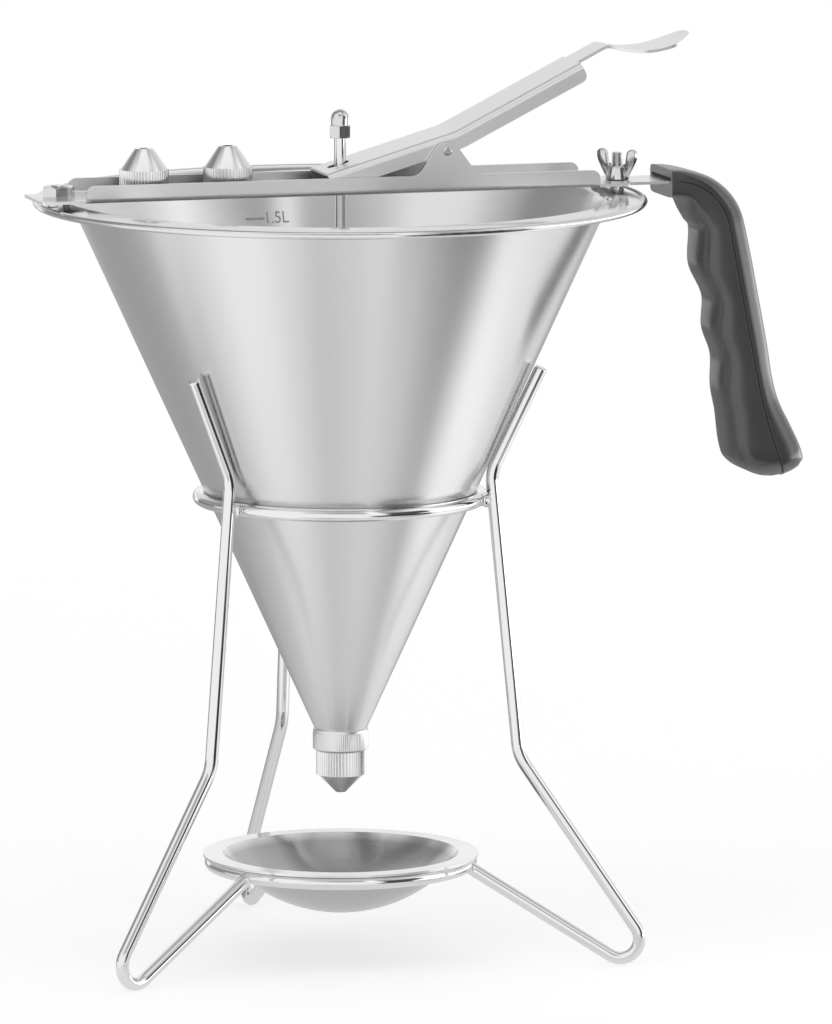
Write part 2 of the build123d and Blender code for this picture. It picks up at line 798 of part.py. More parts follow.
with BuildPart() as upper_ring:
    with Locations((0, 0, upper_ring_height)):
        Torus(upper_ring_radius, wire_radius)
        for azimuth in leg_azimuths:
            with PolarLocations(weld_reach, 1, start_angle=azimuth):
                Cylinder(weld_radius, weld_length, rotation=(0, 90, 0))
    for leg in legs:
        add(leg.part, mode=Mode.SUBTRACT)
save(upper_ring, "upper_ring")

# Drip bowl
bowl_top = bowl_ring_height + wire_radius + bowl_gap + bowl_sheet
bowl_curve = (bowl_mouth_radius**2 + bowl_depth**2) / (2 * bowl_depth)
with BuildPart() as drip_bowl:
    with BuildSketch(Plane.XZ):
        with BuildLine():
            Line((bowl_flange_radius, bowl_top), (bowl_mouth_radius, bowl_top))
            RadiusArc((bowl_mouth_radius, bowl_top), (0, bowl_top - bowl_depth), bowl_curve)
            offset(amount=bowl_sheet, side=Side.LEFT)
        make_face()
    revolve(axis=Axis.Z)
save(drip_bowl, "drip_bowl")
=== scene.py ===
import json
import math

import bmesh
import bpy
from mathutils import Euler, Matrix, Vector


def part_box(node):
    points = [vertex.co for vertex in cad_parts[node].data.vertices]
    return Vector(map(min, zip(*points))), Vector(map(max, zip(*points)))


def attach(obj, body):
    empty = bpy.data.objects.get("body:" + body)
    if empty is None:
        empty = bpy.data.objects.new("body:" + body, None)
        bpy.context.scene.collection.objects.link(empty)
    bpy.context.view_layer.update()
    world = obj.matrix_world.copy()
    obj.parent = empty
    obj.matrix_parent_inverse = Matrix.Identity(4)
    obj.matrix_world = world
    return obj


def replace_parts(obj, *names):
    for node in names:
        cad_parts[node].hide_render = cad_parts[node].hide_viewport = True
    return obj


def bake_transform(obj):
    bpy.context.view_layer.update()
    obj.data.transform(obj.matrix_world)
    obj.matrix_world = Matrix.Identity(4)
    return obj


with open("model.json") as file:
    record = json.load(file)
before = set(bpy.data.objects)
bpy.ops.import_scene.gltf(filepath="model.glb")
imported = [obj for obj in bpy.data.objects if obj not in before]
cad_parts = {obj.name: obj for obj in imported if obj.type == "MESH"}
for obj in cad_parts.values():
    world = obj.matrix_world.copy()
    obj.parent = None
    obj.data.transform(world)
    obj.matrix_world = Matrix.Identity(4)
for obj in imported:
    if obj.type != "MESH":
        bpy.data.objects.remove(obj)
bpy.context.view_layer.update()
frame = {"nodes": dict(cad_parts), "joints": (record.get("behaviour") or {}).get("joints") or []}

slots = {name: node.data.materials[0].name for name, node in frame["nodes"].items()}
for imported in list(bpy.data.materials):
    bpy.data.materials.remove(imported)

scene = bpy.context.scene
scene.view_settings.view_transform = "Standard"

# Camera, in metres and degrees: it stands in front of the funnel and a little to the left
camera_place = (-1.0176, -3.5957, 0.6919)
camera_turn = 16.2067
camera_pitch = 8.155
camera_lens = 379.9
camera_sensor = 36.0

camera_data = bpy.data.cameras.new("camera")
camera_data.sensor_fit = "VERTICAL"
camera_data.sensor_height = camera_sensor
camera_data.lens = camera_lens
camera = bpy.data.objects.new("camera", camera_data)
camera.location = camera_place
camera.rotation_euler = Euler((math.radians(90 - camera_pitch), 0, math.radians(-camera_turn)))
scene.collection.objects.link(camera)
scene.camera = camera


class Graph:
    """Adds and links shader nodes of one node tree."""

    def __init__(self, tree):
        self.tree = tree
        tree.nodes.clear()

    def add(self, kind, inputs=None, **settings):
        """New node with its settings, and its inputs as values or as sockets of other nodes."""
        node = self.tree.nodes.new("ShaderNode" + kind)
        for name, setting in settings.items():
            setattr(node, name, setting)
        for name, source in (inputs or {}).items():
            if isinstance(source, bpy.types.NodeSocket):
                self.tree.links.new(source, node.inputs[name])
            else:
                node.inputs[name].default_value = source
        return node

    def place(self):
        """Place on the object, in metres from its origin."""
        return self.add("TexCoord").outputs["Object"]

    def math(self, operation, *values):
        """Result of a math node."""
        return self.add("Math", dict(enumerate(values)), operation=operation).outputs[0]

    def vector(self, operation, *values):
        """Result of a vector math node."""
        return self.add("VectorMath", dict(enumerate(values)), operation=operation).outputs["Vector"]

    def length(self, vector):
        """Length of a vector."""
        return self.add("VectorMath", {0: vector}, operation="LENGTH").outputs["Value"]

    def noise(self, place, detail):
        """Noise at the given coordinates."""
        return self.add("TexNoise", {"Vector": place, "Scale": 1.0, "Detail": detail}).outputs["Fac"]

    def stretch(self, value, span, levels=(0.0, 1.0)):
        """Value mapped from a span to a pair of levels, and held between them."""
        inputs = {
            "Value": value,
            "From Min": span[0],
            "From Max": span[1],
            "To Min": levels[0],
            "To Max": levels[1],
        }
        return self.add("MapRange", inputs).outputs[0]

    def ramp(self, factor, stops):
        """Grey level along a factor, from pairs of place and level."""
        node = self.add("ValToRGB", {"Fac": factor})
        node.color_ramp.interpolation = "EASE"
        elements = node.color_ramp.elements
        while len(elements) < len(stops):
            elements.new(0.5)
        for element, (place, level) in zip(elements, stops):
            element.position = place
            element.color = (level, level, level, 1)
        return node.outputs["Color"]


def new_material(name):
    """Empty node material and the graph to fill it."""
    material = bpy.data.materials.new(name)
    material.use_nodes = True
    return material, Graph(material.node_tree)


# Materials: the span that most noise lies in, then the grain of the metals, where their finish changes, and
# their painted shade within a radius and in hollows
noise_span = (0.3, 0.7)
grain_detail = 3.0
grain_strength = 0.15
brushed_turn = 0.25
finish_and_shade_blend = 0.002
polish_share = 0.55
# Painted shade: the bowl's inside is darkened within a radius, standing in for the dark reflection of the
# cone above it
painted_shade_share = 0.62
# Painted shade: ambient occlusion darkens the bar and lever in hollows, standing in for the shade under the
# lever and inside the bar's channel
hollow_shade_span = (0.2, 0.5)
hollow_shade_share = 0.15
hollow_shade_samples = 8


def round_grain(graph, along, across):
    """Coordinates whose noise runs in rings round the vertical axis."""
    place = graph.place()
    ring = graph.vector("NORMALIZE", graph.vector("MULTIPLY", place, (1, 1, 0)))
    around = graph.vector("MULTIPLY", ring, (along, along, along))
    rise = graph.vector("MULTIPLY", place, (0, 0, across))
    return graph.vector("ADD", around, rise)


def straight_grain(graph, along, across):
    """Coordinates whose noise runs in lines along X, or is even where both scales are the same."""
    return graph.vector("MULTIPLY", graph.place(), (along, across, across))


def patchy(graph, scale, detail, level, spread):
    """Grey level that changes in soft patches."""
    patch = graph.noise(straight_grain(graph, scale, scale), detail)
    return graph.stretch(patch, noise_span, ((1 - spread) * level, (1 + spread) * level))


def steel(
    name, colour, roughness, spread, grain, along, across, depth,
    anisotropy=0.0, polished_above=None, painted_shade_within=None, hollow_shade_width=None,
):
    """Stainless steel with a brushed or polished grain.

    It may be polished above a height; painted shade may darken it within a radius and in hollows up to a
    given width.
    """
    material, graph = new_material(name)
    noise = graph.noise(grain(graph, along, across), grain_detail)
    bump = graph.add("Bump", {"Height": noise, "Strength": grain_strength, "Distance": depth})
    rough = graph.stretch(noise, noise_span, (roughness - spread, roughness + spread))
    if polished_above:
        height = graph.add("SeparateXYZ", {0: graph.place()}).outputs["Z"]
        dull = graph.stretch(height, (polished_above, polished_above + finish_and_shade_blend), (1.0, polish_share))
        rough = graph.math("MULTIPLY", rough, dull)
    shader = graph.add(
        "BsdfPrincipled",
        {"Base Color": (colour, colour, colour, 1), "Metallic": 1.0, "Roughness": rough,
         "Normal": bump.outputs[0], "Anisotropic": anisotropy},
    )
    if anisotropy:
        tangent = graph.add("Tangent", direction_type="RADIAL", axis="Z")
        graph.tree.links.new(tangent.outputs[0], shader.inputs["Tangent"])
        shader.inputs["Anisotropic Rotation"].default_value = brushed_turn
    # Painted shade: darker within a radius, for the bowl's dark reflection of the cone
    if painted_shade_within:
        reach = graph.length(graph.vector("MULTIPLY", graph.place(), (1, 1, 0)))
        tone = graph.stretch(reach, (painted_shade_within - finish_and_shade_blend, painted_shade_within), (painted_shade_share * colour, colour))
        graph.tree.links.new(tone, shader.inputs["Base Color"])
    # Painted shade: darker where ambient occlusion finds hollows, for the shade that falls in them
    if hollow_shade_width:
        openness = graph.add("AmbientOcclusion", {"Distance": hollow_shade_width}, samples=hollow_shade_samples).outputs["AO"]
        tone = graph.stretch(openness, hollow_shade_span, (hollow_shade_share * colour, colour))
        graph.tree.links.new(tone, shader.inputs["Base Color"])
    graph.add("OutputMaterial", {"Surface": shader.outputs[0]})
    return material


def plastic(name, level):
    """Satin moulded plastic with a fine grain and slightly uneven colour."""
    fine_scale = 2600.0
    fine_strength = 0.2
    fine_depth = 0.00002
    patch_scale = 60.0
    material, graph = new_material(name)
    fine = graph.noise(straight_grain(graph, fine_scale, fine_scale), detail=2.0)
    bump = graph.add("Bump", {"Height": fine, "Strength": fine_strength, "Distance": fine_depth})
    tint = patchy(graph, patch_scale, detail=3.0, level=level, spread=0.1)
    shader = graph.add(
        "BsdfPrincipled",
        {"Base Color": tint, "Roughness": 0.25, "Specular IOR Level": 1.0, "Normal": bump.outputs[0]},
    )
    graph.add("OutputMaterial", {"Surface": shader.outputs[0]})
    return material


def ink(name, level):
    """Thin dark print or shadow line, a little uneven."""
    patch_scale = 900.0
    material, graph = new_material(name)
    tint = patchy(graph, patch_scale, detail=2.0, level=level, spread=0.15)
    shader = graph.add("BsdfPrincipled", {"Base Color": tint, "Roughness": 0.6})
    graph.add("OutputMaterial", {"Surface": shader.outputs[0]})
    return material


steels = {
    "cone_steel": dict(
        colour=0.78, roughness=0.26, spread=0.01, grain=round_grain, along=4.0, across=2400.0,
        depth=0.000001, anisotropy=0.7, polished_above=0.2625),
    # The bowl's inside carries painted shade within 41 mm of its axis
    "bowl_steel": dict(
        colour=0.86, roughness=0.16, spread=0.02, grain=round_grain, along=4.0, across=1800.0,
        depth=0.000004, anisotropy=0.8, painted_shade_within=0.041),
    "wire_steel": dict(
        colour=0.85, roughness=0.07, spread=0.02, grain=straight_grain, along=400.0, across=400.0,
        depth=0.00001),
    # The bar carries painted shade in its hollows
    "bar_steel": dict(
        colour=0.91, roughness=0.32, spread=0.03, grain=straight_grain, along=60.0, across=2600.0,
        depth=0.000008, hollow_shade_width=0.02),
    # The lever carries painted shade in its hollows
    "lever_steel": dict(
        colour=0.91, roughness=0.38, spread=0.02, grain=straight_grain, along=60.0, across=2600.0,
        depth=0.000004, hollow_shade_width=0.02),
    "nozzle_steel": dict(
        colour=0.87, roughness=0.18, spread=0.02, grain=round_grain, along=4.0, across=900.0,
        depth=0.000005),
    "collar_steel": dict(
        colour=0.82, roughness=0.33, spread=0.04, grain=round_grain, along=4.0, across=900.0,
        depth=0.000005),
    "fastener_steel": dict(
        colour=0.72, roughness=0.16, spread=0.02, grain=straight_grain, along=900.0, across=900.0,
        depth=0.000002),
    "rod_steel": dict(
        colour=0.85, roughness=0.10, spread=0.02, grain=round_grain, along=4.0, across=1600.0,
        depth=0.00001),
    "spring_steel": dict(
        colour=0.62, roughness=0.20, spread=0.04, grain=straight_grain, along=900.0, across=900.0,
        depth=0.00001),
}
finishes = {name: steel(name, **look) for name, look in steels.items()}
finishes["handle_plastic"] = plastic("handle_plastic", level=0.044)
for name, node in frame["nodes"].items():
    node.data.materials.clear()
    node.data.materials.append(finishes[slots[name]])

# Mesh tools; the pieces' own sizes are in millimetres

mm = 0.001
same_place = 1e-7
any_side = Vector((0.3, 0.5, 0.8))
upright = Vector((0, 0, 1))


def add_object(name, mesh, place=(0, 0, 0)):
    """Object of a mesh, in the scene."""
    made = bpy.data.objects.new(name, mesh)
    made.location = place
    scene.collection.objects.link(made)
    return made


def mesh_from(name, build, sharp=30):
    """Mesh filled by a function that takes a bmesh, smooth but for its sharp edges."""
    shape = bmesh.new()
    build(shape)
    bmesh.ops.remove_doubles(shape, verts=shape.verts, dist=same_place)
    bmesh.ops.recalc_face_normals(shape, faces=shape.faces)
    mesh = bpy.data.meshes.new(name)
    shape.to_mesh(mesh)
    shape.free()
    mesh.shade_smooth()
    mesh.set_sharp_from_angle(angle=math.radians(sharp))
    return mesh


def add_piece(name, slot, build, place=(0, 0, 0), sharp=30):
    """Piece of the object with the finish of a material slot, built about a place."""
    piece = add_object(name, mesh_from(name, build, sharp), place)
    piece.data.materials.append(finishes[slot])
    return piece


def skin(shape, ring, following):
    """Faces between two closed rings of points."""
    for place in range(len(ring)):
        shape.faces.new((ring[place - 1], ring[place], following[place], following[place - 1]))


def turn(shape, rows, sectors, reach=None):
    """Form turned about the upright axis from a closed outline of radii and heights.

    Where the radius changes round the axis, reach gives it from the row's radius, its height and the angle.
    """
    rings = []
    for radius, height in rows:
        ring = []
        for sector in range(sectors):
            angle = 2 * math.pi * sector / sectors
            wide = reach(radius, height, angle) if reach else radius
            offset = Vector((wide * math.cos(angle), wide * math.sin(angle), height))
            ring.append(shape.verts.new(mm * offset))
        rings.append(ring)
    for ring, following in zip(rings, rings[1:] + rings[:1]):
        skin(shape, ring, following)


def tube(shape, points, radius, sides):
    """Round wire along points in metres."""
    side = any_side
    rings = []
    for place, point in enumerate(points):
        way = (points[min(place + 1, len(points) - 1)] - points[max(place - 1, 0)]).normalized()
        side = (side - side.dot(way) * way).normalized()
        up = way.cross(side)
        turns = [2 * math.pi * number / sides for number in range(sides)]
        rings.append([
            shape.verts.new(point + radius * mm * (math.cos(angle) * side + math.sin(angle) * up))
            for angle in turns
        ])
    for ring, following in zip(rings, rings[1:]):
        skin(shape, ring, following)
    shape.faces.new(rings[0])
    shape.faces.new(rings[-1])


def box_middle(node, height):
    """Point on the upright middle line of a CAD node, at the lowest or highest end."""
    low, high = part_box(node)
    middle = (low + high) / 2
    return Vector((middle.x, middle.y, (low if height == "low" else high).z))


# Rolled edge of the cone's lip
rim_radius = 106.95
roll_radius = 1.3
roll_height = 265.9
roll_steps = 24
rim_sectors = 240


def make_rim_roll():
    """Round roll that the lip ends in."""
    angles = [2 * math.pi * step / roll_steps for step in range(roll_steps)]
    middle = rim_radius - roll_radius
    rows = [
        (middle + roll_radius * math.cos(angle), roll_height + roll_radius * math.sin(angle))
        for angle in angles
    ]
    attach(add_piece("rim_roll", "cone_steel", lambda shape: turn(shape, rows, rim_sectors)), "funnel")


make_rim_roll()

# Nozzles with a fluted skirt
skirt_radius = 8.6
skirt_length = 8.8
skirt_edge = 0.4
skirt_ledge = 0.05
thread_radius = 6.05
thread_depth = 7.0
shoulder_radius = 5.0
tip_chamfer = 0.4
exit_length = 1.6
flutes = 48
flute_depth = 0.44
flute_sectors = 6


def fluted(radius, height, angle):
    """Radius of the skirt with rounded ribs and sharp valleys."""
    if radius < skirt_radius - skirt_edge:
        return radius
    return radius - flute_depth * (1 - abs(math.sin(flutes * angle / 2)))


def make_nozzle(node, body, upward, length, tip_radius, exit_radius):
    """Nozzle that stands on its open end or hangs from it."""
    way = 1 if upward else -1
    outline = (
        (thread_radius, 0),
        (skirt_radius - skirt_edge, 0),
        (skirt_radius, skirt_edge),
        (skirt_radius, skirt_length),
        (skirt_radius - skirt_edge - skirt_ledge, skirt_length),
        (tip_radius, length - tip_chamfer),
        (tip_radius - tip_chamfer, length),
        (exit_radius, length),
        (exit_radius, length - exit_length),
        (shoulder_radius, thread_depth),
        (thread_radius, thread_depth),
    )
    rows = [(radius, way * height) for radius, height in outline]
    sectors = flute_sectors * flutes
    foot = box_middle(node, "low" if upward else "high")
    nozzle = add_piece(
        node + "_fluted", "nozzle_steel", lambda shape: turn(shape, rows, sectors, fluted), foot)
    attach(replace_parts(nozzle, node), body)


make_nozzle("spare_nozzle_1", "spare_one", upward=True, length=16.0, tip_radius=3.5, exit_radius=1.4)
make_nozzle("spare_nozzle_2", "spare_two", upward=True, length=16.0, tip_radius=3.5, exit_radius=1.9)
make_nozzle("fitted_nozzle", "nozzle", upward=False, length=15.2, tip_radius=2.2, exit_radius=1.2)

# Lined collar above the fitted nozzle, with the valve's seat inside and the nozzle's spigot below
outlet_radius = 8.36
seat_radius = 3.5
seat_depth = 5.3
spigot_radius = 6.0
spigot_depth = 13.9
collar_radius = 9.75
collar_depth = 7.5
collar_edge = 0.3
collar_band = 1.3
band_inset = 0.12
band_edge = 0.1
collar_chamfer = 0.4
collar_lines = 84
line_depth = 0.12
line_sectors = 6


def lined(radius, height, angle):
    """Radius of the collar with fine upright lines."""
    if radius < collar_radius:
        return radius
    return radius - line_depth * (1 - abs(math.sin(collar_lines * angle / 2)))


def make_collar():
    """Collar of the outlet, built down from its upper face."""
    rows = (
        (outlet_radius, 0),
        (seat_radius, -seat_depth),
        (seat_radius, -spigot_depth),
        (spigot_radius, -spigot_depth),
        (spigot_radius, -collar_depth),
        (collar_radius - collar_edge, -collar_depth),
        (collar_radius, collar_edge - collar_depth),
        (collar_radius, -collar_band),
        (collar_radius - band_inset, band_edge - collar_band),
        (collar_radius - band_inset, -collar_edge),
        (collar_radius - collar_chamfer, 0),
    )
    sectors = line_sectors * collar_lines
    foot = box_middle("outlet_fitting", "high")
    collar = add_piece(
        "outlet_collar", "nozzle_steel", lambda shape: turn(shape, rows, sectors, lined), foot)
    collar.data.materials[0] = finishes["collar_steel"]
    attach(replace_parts(collar, "outlet_fitting"), "funnel")


make_collar()

# Hexagon nuts with chamfered corners
nut_sectors = 120
nut_sharp = 20
nut_chamfer = math.radians(32)
nut_chamfer_steps = 4


def hexagon(flats, azimuth):
    """Function that cuts turned rows to a hexagon with a corner at an azimuth."""
    corner = math.radians(azimuth)

    def reach(radius, height, angle):
        return min(radius, flats / 2 / math.cos((angle - corner) % (math.pi / 3) - math.pi / 6))

    return reach


def hex_rows(flats, low, high, ends):
    """Rows of a hexagon whose chosen ends are chamfered to a round face."""
    corner = flats / 2 / math.cos(math.pi / 6)
    shares = [step / nut_chamfer_steps for step in range(nut_chamfer_steps + 1)]
    rise = (corner - flats / 2) * math.tan(nut_chamfer)
    bottom = [(flats / 2 + share * (corner - flats / 2), low + share * rise) for share in shares]
    top = [(flats / 2 + share * (corner - flats / 2), high - share * rise) for share in reversed(shares)]
    return (bottom if "low" in ends else [(corner, low)]) + (top if "high" in ends else [(corner, high)])


def make_acorn_nut():
    """Domed nut on top of the valve rod."""
    azimuth = -108
    flats = 7.0
    length = 10.0
    dome = 3.2
    dome_steps = 9
    bore = 2.15
    hex_top = 4.4
    face_inset = 0.2
    dome_foot = (0.1, 0.15)
    dome_base = length - dome
    arc = [math.radians(90 * step / dome_steps) for step in range(dome_steps + 1)]
    rows = [(0, dome_base), (bore, dome_base), (bore, 0), (flats / 2 - face_inset, 0)]
    rows += hex_rows(flats, 0, hex_top, ("low", "high"))
    rows += [(dome + dome_foot[0], hex_top), (dome, hex_top + dome_foot[1])]
    rows += [(dome * math.cos(angle), dome_base + dome * math.sin(angle)) for angle in arc]
    reach = hexagon(flats, azimuth)
    foot = box_middle("acorn_nut", "low")
    nut = add_piece(
        "domed_nut", "fastener_steel", lambda shape: turn(shape, rows, nut_sectors, reach), foot,
        sharp=nut_sharp)
    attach(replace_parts(nut, "acorn_nut"), "valve")


def make_hex_nut():
    """Plain nut on the left stud."""
    azimuth = -114
    flats = 10.0
    length = 4.0
    bore = 3.05
    bore_chamfer = 0.4
    rows = [(bore + bore_chamfer, length), (bore, length - bore_chamfer), (bore, 0.0)]
    rows += hex_rows(flats, 0, length, ("high",))
    reach = hexagon(flats, azimuth)
    foot = box_middle("hex_nut", "low")
    nut = add_piece(
        "chamfered_nut", "fastener_steel", lambda shape: turn(shape, rows, nut_sectors, reach), foot,
        sharp=nut_sharp)
    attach(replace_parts(nut, "hex_nut"), "funnel")


make_acorn_nut()
make_hex_nut()

# Wing nut and its threaded stud
stud_reach = 100.9
lip_level = 267.2
bar_bottom = 269.1
bar_top = 270.1
stud_length = 9.7
stud_radius = 2.0
stud_shoulder = 2.6
stud_chamfer = 0.4
stud_gap = 0.05
stud_ease = 0.01
stud_sectors = 32
thread_root = 1.5
thread_pitch = 0.8
thread_steps = 6
thread_steepness = 1.4


def make_wing_stud():
    """Stud with a shoulder on the lip and a thread above the bar."""
    foot = mm * Vector((stud_reach, 0, bar_top))
    lip = lip_level - bar_top
    underside = bar_bottom - bar_top
    steps = int(thread_steps * stud_length / thread_pitch)
    thread = [(stud_radius, stud_length * step / steps) for step in range(steps)]
    rows = [(0, lip), (stud_shoulder, lip), (stud_shoulder, underside - stud_gap)]
    rows += [(stud_radius - stud_ease, underside)] + thread
    rows += [(stud_radius - stud_chamfer, stud_length), (0, stud_length)]

    def reach(radius, height, angle):
        if radius != stud_radius:
            return radius
        share = (height / thread_pitch - angle / (2 * math.pi)) % 1
        return thread_root + (stud_radius - thread_root) * min(1.0, thread_steepness * abs(2 * share - 1))

    stud = add_piece(
        "threaded_stud", "fastener_steel", lambda shape: turn(shape, rows, stud_sectors, reach), foot)
    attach(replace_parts(stud, "wing_stud"), "funnel")


def make_wing_nut():
    """Cast wing nut with two rounded wings."""
    foot = box_middle("wing_nut", "low")
    boss = (
        (2.05, 0), (3.9, 0), (4.2, 0.3), (4.15, 0.9), (3.45, 4.2), (3.3, 4.6), (3.1, 4.8),
        (2.4, 4.8), (2.05, 4.5),
    )
    boss_sectors = 48
    wing = ((2.3, 0.8), (4.2, 0.8), (7.6, 7.3), (7.6, 10.7), (4.2, 10.7), (3.3, 4.6), (2.3, 4.6))
    wing_round = 1.6
    half_rims = ((0.5, 1.0), (0.9, 0.96), (1.22, 0.84), (1.3, 0.72))
    wing_rims = [(-shift, size) for shift, size in reversed(half_rims)] + list(half_rims)
    azimuth = math.radians(-44)

    corners = bmesh.new()
    spots = [corners.verts.new((reach, height, 0)) for reach, height in wing]
    corners.faces.new(spots)
    bmesh.ops.bevel(corners, geom=spots[2:5], affect="VERTICES", offset=wing_round, segments=5, profile=0.5)
    outline = [spot.co.copy() for face in corners.faces for spot in face.verts]
    corners.free()
    middle = sum(outline, Vector()) / len(outline)

    def build(shape):
        for side in (1, -1):
            outward = side * Vector((math.cos(azimuth), math.sin(azimuth), 0))
            across = outward.cross(upright)
            rims = []
            for shift, size in wing_rims:
                places = [middle + size * (spot - middle) for spot in outline]
                rims.append([
                    shape.verts.new(mm * (place.x * outward + place.y * upright + shift * across))
                    for place in places
                ])
            for rim, following in zip(rims, rims[1:]):
                skin(shape, rim, following)
            shape.faces.new(rims[0])
            shape.faces.new(rims[-1])
        turn(shape, boss, boss_sectors)

    nut = add_piece("cast_wing_nut", "fastener_steel", build, foot, sharp=40)
    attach(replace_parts(nut, "wing_nut"), "wing")


make_wing_stud()
make_wing_nut()


# Torsion spring round the lever's pin: a leg on the bar, six turns and a tail under the lever
def make_spring():
    """Wound wire with a leg that reaches down to the bar and a tail under the lever."""
    pivot = Vector(next(joint["pos_m"] for joint in frame["joints"] if joint["name"] == "lever_press"))
    wire = 0.4
    wire_sides = 12
    radius = 2.15
    turns = 6
    turn_steps = 30
    pitch = 1.4
    leg_gap = 0.15
    leg_turn = math.radians(35)
    tail_turn = math.radians(28.1)
    tail = 16.0
    start = -math.pi / 2 - leg_turn
    end = math.pi / 2 + tail_turn - 2 * math.pi * turns
    rise = pitch / (2 * math.pi)

    def coil(angle):
        advance = rise * ((start + end) / 2 - angle)
        return pivot + mm * Vector((radius * math.cos(angle), advance, radius * math.sin(angle)))

    def way(angle):
        return Vector((radius * math.sin(angle), rise, -radius * math.cos(angle))).normalized()

    steps = turn_steps * turns
    points = [coil(start + (end - start) * step / steps) for step in range(steps + 1)]
    leg_drop = points[0].z - mm * (bar_top + wire + leg_gap)
    points.insert(0, points[0] - way(start) * (leg_drop / way(start).z))
    points.append(points[-1] + mm * tail * way(end))
    spring = add_piece("wound_spring", "spring_steel", lambda shape: tube(shape, points, wire, wire_sides))
    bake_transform(spring)
    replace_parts(spring, "return_spring")


make_spring()

# Weld beads where the rings meet the legs, with each bead's sizes outward, along the ring and upward
leg_azimuths = (("right", -29.0), ("back", 93.2), ("left", -150.5))
weld_ripple = 0.07
ripples_along = 5
ripples_up = 4
upper_weld_reach = 52.15
upper_weld_height = 162.2
upper_weld_sizes = (1.5, 2.9, 2.6)
lower_weld_reach = 47.5
lower_weld_height = 31.7
lower_weld_sizes = (1.6, 2.9, 2.0)


def make_weld(name, azimuth, reach, height, sizes):
    """Small uneven bead of weld metal."""
    outward = Vector((math.cos(math.radians(azimuth)), math.sin(math.radians(azimuth)), 0))
    along = Vector((-outward.y, outward.x, 0))

    def build(shape):
        bmesh.ops.create_icosphere(shape, subdivisions=4, radius=1)
        for point in shape.verts:
            wave = math.sin(ripples_along * point.co.y + azimuth) * math.cos(ripples_up * point.co.z)
            ripple = 1 + weld_ripple * wave
            spread = Vector([side * share * ripple for side, share in zip(sizes, point.co)])
            place = (reach + spread.x) * outward + spread.y * along + Vector((0, 0, height + spread.z))
            point.co = mm * place

    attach(add_piece(name, "wire_steel", build), "stand")


for leg, azimuth in leg_azimuths:
    make_weld("upper_weld_" + leg, azimuth, upper_weld_reach, upper_weld_height, upper_weld_sizes)
    make_weld("lower_weld_" + leg, azimuth, lower_weld_reach, lower_weld_height, lower_weld_sizes)

# Capacity mark inside the cone: a dash and the number of litres, placed by azimuth and height
cone_foot = 80.3
cone_slope = math.tan(math.radians(24.5))
print_gap = 0.12
words_azimuth = 91.9
words_turn = 5.4
words_foot = 248.6
words_height = 3.9
dash_azimuth = 97.2
dash_turn = 4.75
dash_heights = (249.9, 250.6)
dash_steps = 10


def wall_place(azimuth, height):
    """Point just inside the cone's wall."""
    reach = outlet_radius + (height - cone_foot) * cone_slope - print_gap
    angle = math.radians(azimuth)
    return mm * Vector((reach * math.cos(angle), reach * math.sin(angle), height))


def make_mark():
    """Printed capacity mark on the wall."""
    words = bpy.data.curves.new("words", "FONT")
    words.body = "1.5L"
    writing = add_object("words", words)
    bpy.context.view_layer.update()
    flat = bpy.data.meshes.new_from_object(writing)
    bpy.data.objects.remove(writing)
    across = [point.co.x for point in flat.vertices]
    upward = [point.co.y for point in flat.vertices]

    def share(place, places):
        return (place - min(places)) / (max(places) - min(places))

    def build(shape):
        shape.from_mesh(flat)
        for point in shape.verts:
            azimuth = words_azimuth - words_turn * share(point.co.x, across)
            point.co = wall_place(azimuth, words_foot + words_height * share(point.co.y, upward))
        azimuths = [dash_azimuth - dash_turn * step / dash_steps for step in range(dash_steps + 1)]
        dash = [
            [shape.verts.new(wall_place(azimuth, height)) for height in dash_heights] for azimuth in azimuths
        ]
        for (low, high), (next_low, next_high) in zip(dash, dash[1:]):
            shape.faces.new((low, next_low, next_high, high))

    mark = add_object("capacity_mark", mesh_from("capacity_mark", build))
    mark.data.materials.append(ink("mark_ink", level=0.42))
    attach(mark, "funnel")


make_mark()

# Pistol handle: two moulded shells that meet on the seam, whose sections stand at places along it
seam_start = 117.1
bend_start = 118.7
bend_radius = 20.0
bend_turn = math.radians(79)
seam_straight = 54.0
seam_end = Vector((160.0, 163.4))
seam_length = 124.0
half_width = 13.0
heel_centre = Vector((155.7, 182.5))
heel_radius = 18.4
heel_round = 6.0
heel_blend = 9.0
section_places = (0.0, 8.7, 15.4, 23.0, 29.4, 42.3, 54.5, 65.3, 75.6, 86.4, 96.0, 105.0, 114.0, 123.0)
grip_depths = (5.9, 6.8, 9.7, 10.5, 9.5, 12.2, 9.3, 11.6, 10.2, 12.4, 12.9, 14.4, 16.0, 17.0)
spine_depths = (4.0, 4.2, 5.6, 7.3, 8.1, 8.5, 8.5, 8.5, 8.4, 8.0, 8.4, 9.9, 10.9, 10.9)
grip_flat = 0.28
grip_power = 3.2
spine_flat = 0.0
spine_power = 2.1
front_power = 7.0
front_length = 22.0
grip_heel_power = 4.5
spine_heel_power = 2.5
heel_start = 94.0
heel_full = 112.0
shell_stations = 120
shell_bends = 40
closing_widths = (0.6, 0.3, 0)


def turned(way, angle):
    """Direction turned clockwise."""
    return Vector((
        way.x * math.cos(angle) + way.y * math.sin(angle),
        way.y * math.cos(angle) - way.x * math.sin(angle),
    ))


def seam_at(distance):
    """Point and direction of the seam in the handle's plane, at a distance from its front end."""
    level = min(distance, bend_start - seam_start)
    way = Vector((1, 0))
    place = Vector((seam_start + level, bar_top))
    bend = min((distance - level) / bend_radius, bend_turn)
    place += bend_radius * Vector((math.sin(bend), math.cos(bend) - 1))
    way = turned(way, bend)
    left = distance - level - bend_radius * bend
    straight = min(left, seam_straight)
    place += straight * way
    left -= straight
    if left > 0:
        chord = seam_end - place
        half_turn = way.angle_signed(chord)
        radius = chord.length / (2 * math.sin(half_turn))
        part = left / (2 * radius)
        place += 2 * radius * math.sin(part) * turned(way, part)
        way = turned(way, 2 * part)
    return place, way


